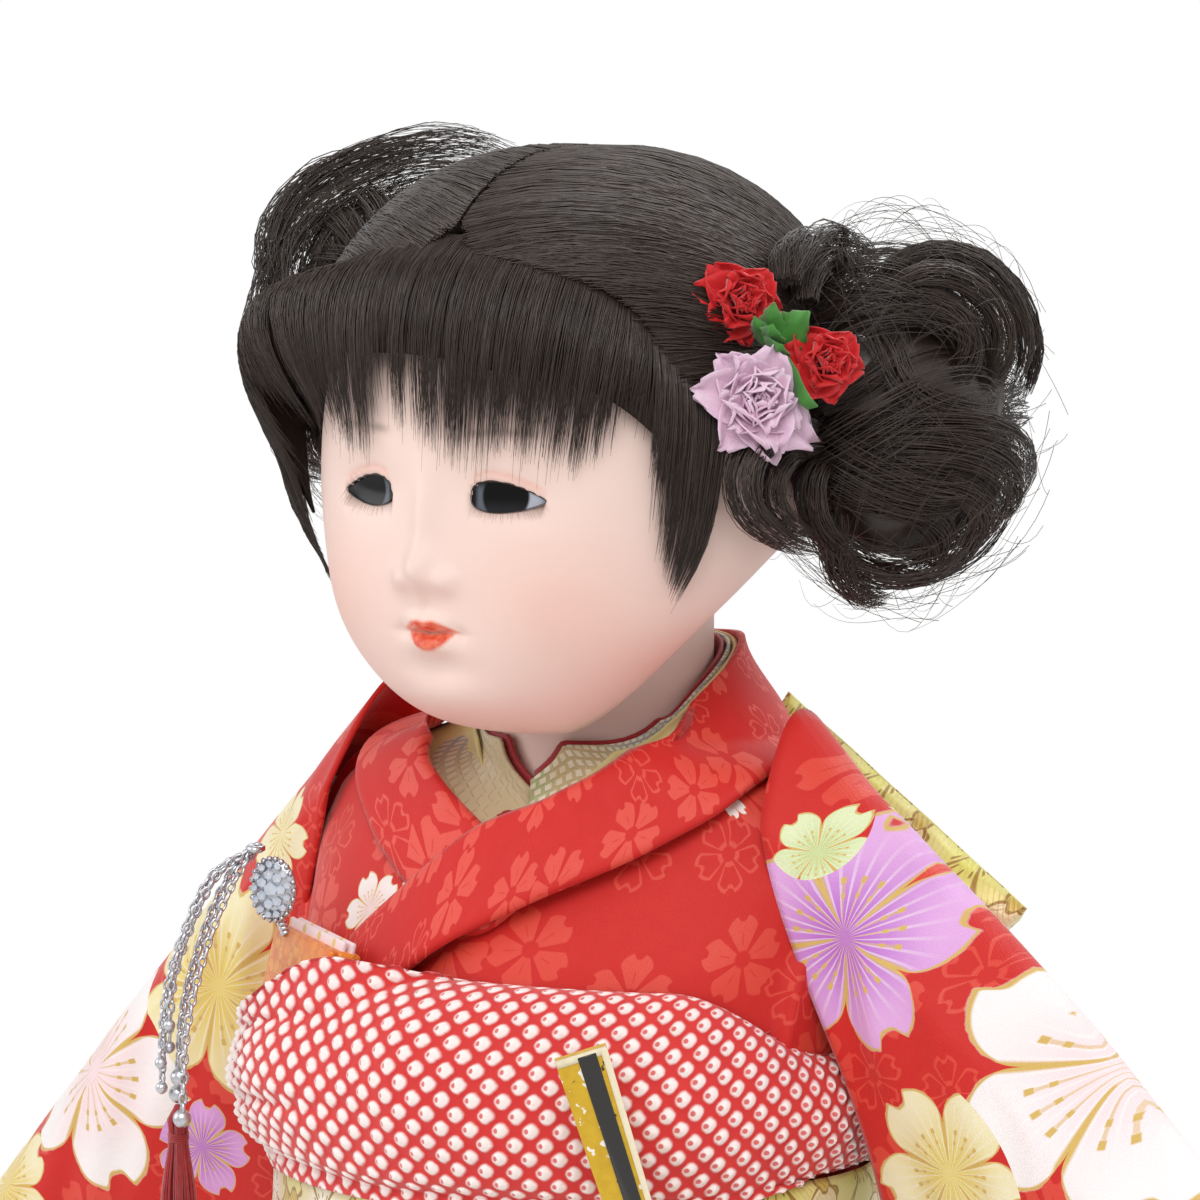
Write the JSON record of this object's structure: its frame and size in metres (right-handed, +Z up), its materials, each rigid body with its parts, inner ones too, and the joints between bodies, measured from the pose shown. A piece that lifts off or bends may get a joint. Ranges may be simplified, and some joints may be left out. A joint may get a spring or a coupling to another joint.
{
  "type": "ichimatsu doll",
  "caption": "Standing doll in a red long-sleeved kimono with a gold sash, curly hair buns, roses, fan and box purse; head, arms and accessories move on their own joints.",
  "frame": {"origin": "on the floor under the middle of the doll's bounding box", "axes": "+Z up; the doll faces -Y and its own left hand is at +X"},
  "size_m": [0.32, 0.1236, 0.4518],
  "materials": {
    "gofun": "pale shell-white lacquer, satin",
    "eye_glass": "dark glossy glass",
    "hair": "silky fibre",
    "tie": "black cord",
    "body_wood": "bare",
    "cotton": "white cotton",
    "red_silk": "red figured silk",
    "lining": "pale silk",
    "collar_red": "dark red silk",
    "collar_embroidered": "embroidered silk",
    "collar_cream": "cream silk",
    "kanoko": "tie-dyed silk crepe",
    "brocade": "gold brocade",
    "board": "plain board",
    "cord": "braided cord",
    "sandal": "covered sole",
    "thong": "red cord",
    "rose_red": "cloth petals",
    "rose_pink": "cloth petals",
    "leaf": "cloth leaves",
    "silver": "bright silver",
    "stones": "faceted clear stones",
    "purse": "orange and gold brocade",
    "fan_paper": "gold paper",
    "lacquer": "black lacquer",
    "tassel": "red silk cords"
  },
  "bodies": {
    "torso": {"torso": "body_wood", "left_leg": "gofun", "right_leg": "gofun", "left_tabi": "cotton", "right_tabi": "cotton", "left_zori_thong": "thong", "right_zori_thong": "thong", "left_zori_sole": "sandal", "right_zori_sole": "sandal", "kimono_skirt": "red_silk", "under_skirt": "lining", "kimono_left_front": "red_silk", "kimono_right_front": "red_silk", "kimono_back": "red_silk", "second_collar": "collar_cream", "half_collar": "collar_embroidered", "inner_collar": "collar_red", "outer_collar": "red_silk", "obi": "brocade", "obi_board": "board", "obiage": "kanoko", "obi_cord": "cord", "bow_upper_wing": "brocade", "bow_lower_wing": "brocade", "bow_knot": "brocade", "obi_pillow": "cotton"},
    "head": {"head": "gofun", "left_eye": "eye_glass", "right_eye": "eye_glass", "neck_plug": "body_wood", "left_hair": "hair", "right_hair": "hair", "fringe": "hair", "left_bun": "hair", "left_bun_tie": "tie", "right_bun": "hair", "right_bun_tie": "tie"},
    "hair_ornament": {"hairpin": "silver", "red_rose_upper": "rose_red", "red_rose_lower": "rose_red", "pink_rose": "rose_pink", "rose_leaves": "leaf"},
    "left_arm": {"left_arm": "cotton", "left_hand": "gofun", "left_sleeve": "red_silk", "left_inner_sleeve": "lining"},
    "right_arm": {"right_arm": "cotton", "right_hand": "gofun", "right_sleeve": "red_silk", "right_inner_sleeve": "lining"},
    "fan": {"fan_leaves": "fan_paper", "fan_guard": "lacquer", "fan_rivet": "silver"},
    "purse": {"box_purse": "purse", "ornament_setting": "silver", "ornament_stones": "stones"},
    "chains": {"ornament_chains": "silver", "tassel": "tassel"}
  },
  "joints": [
    {"name": "head_turn", "type": "hinge", "parent": "torso", "child": "head", "pos_m": [0, 0.00422, 0.336], "axis": [0, 0, 1], "range_deg": [-20, 20]},
    {"name": "hair_ornament_draw", "type": "slide", "parent": "head", "child": "hair_ornament", "axis": [-0.2399, -0.9656, 0.1], "range_m": [0, 0.02]},
    {"name": "left_arm_raise", "type": "hinge", "parent": "torso", "child": "left_arm", "pos_m": [0.046, 0.00122, 0.315], "axis": [-1, 0, 0], "range_deg": [0, 45]},
    {"name": "right_arm_raise", "type": "hinge", "parent": "torso", "child": "right_arm", "pos_m": [-0.046, 0.00122, 0.315], "axis": [-1, 0, 0], "range_deg": [0, 45]},
    {"name": "fan_draw", "type": "slide", "parent": "torso", "child": "fan", "axis": [-0.1822, -0.2443, 0.9524], "range_m": [0, 0.045]},
    {"name": "purse_draw", "type": "slide", "parent": "torso", "child": "purse", "axis": [0.1318, 0.2029, 0.9703], "range_m": [0, 0.02]},
    {"name": "chains_swing", "type": "hinge", "parent": "purse", "child": "chains", "pos_m": [-0.04575, -0.03917, 0.32593], "axis": [-0.769, 0.6392, 0], "range_deg": [0, 25]}
  ]
}
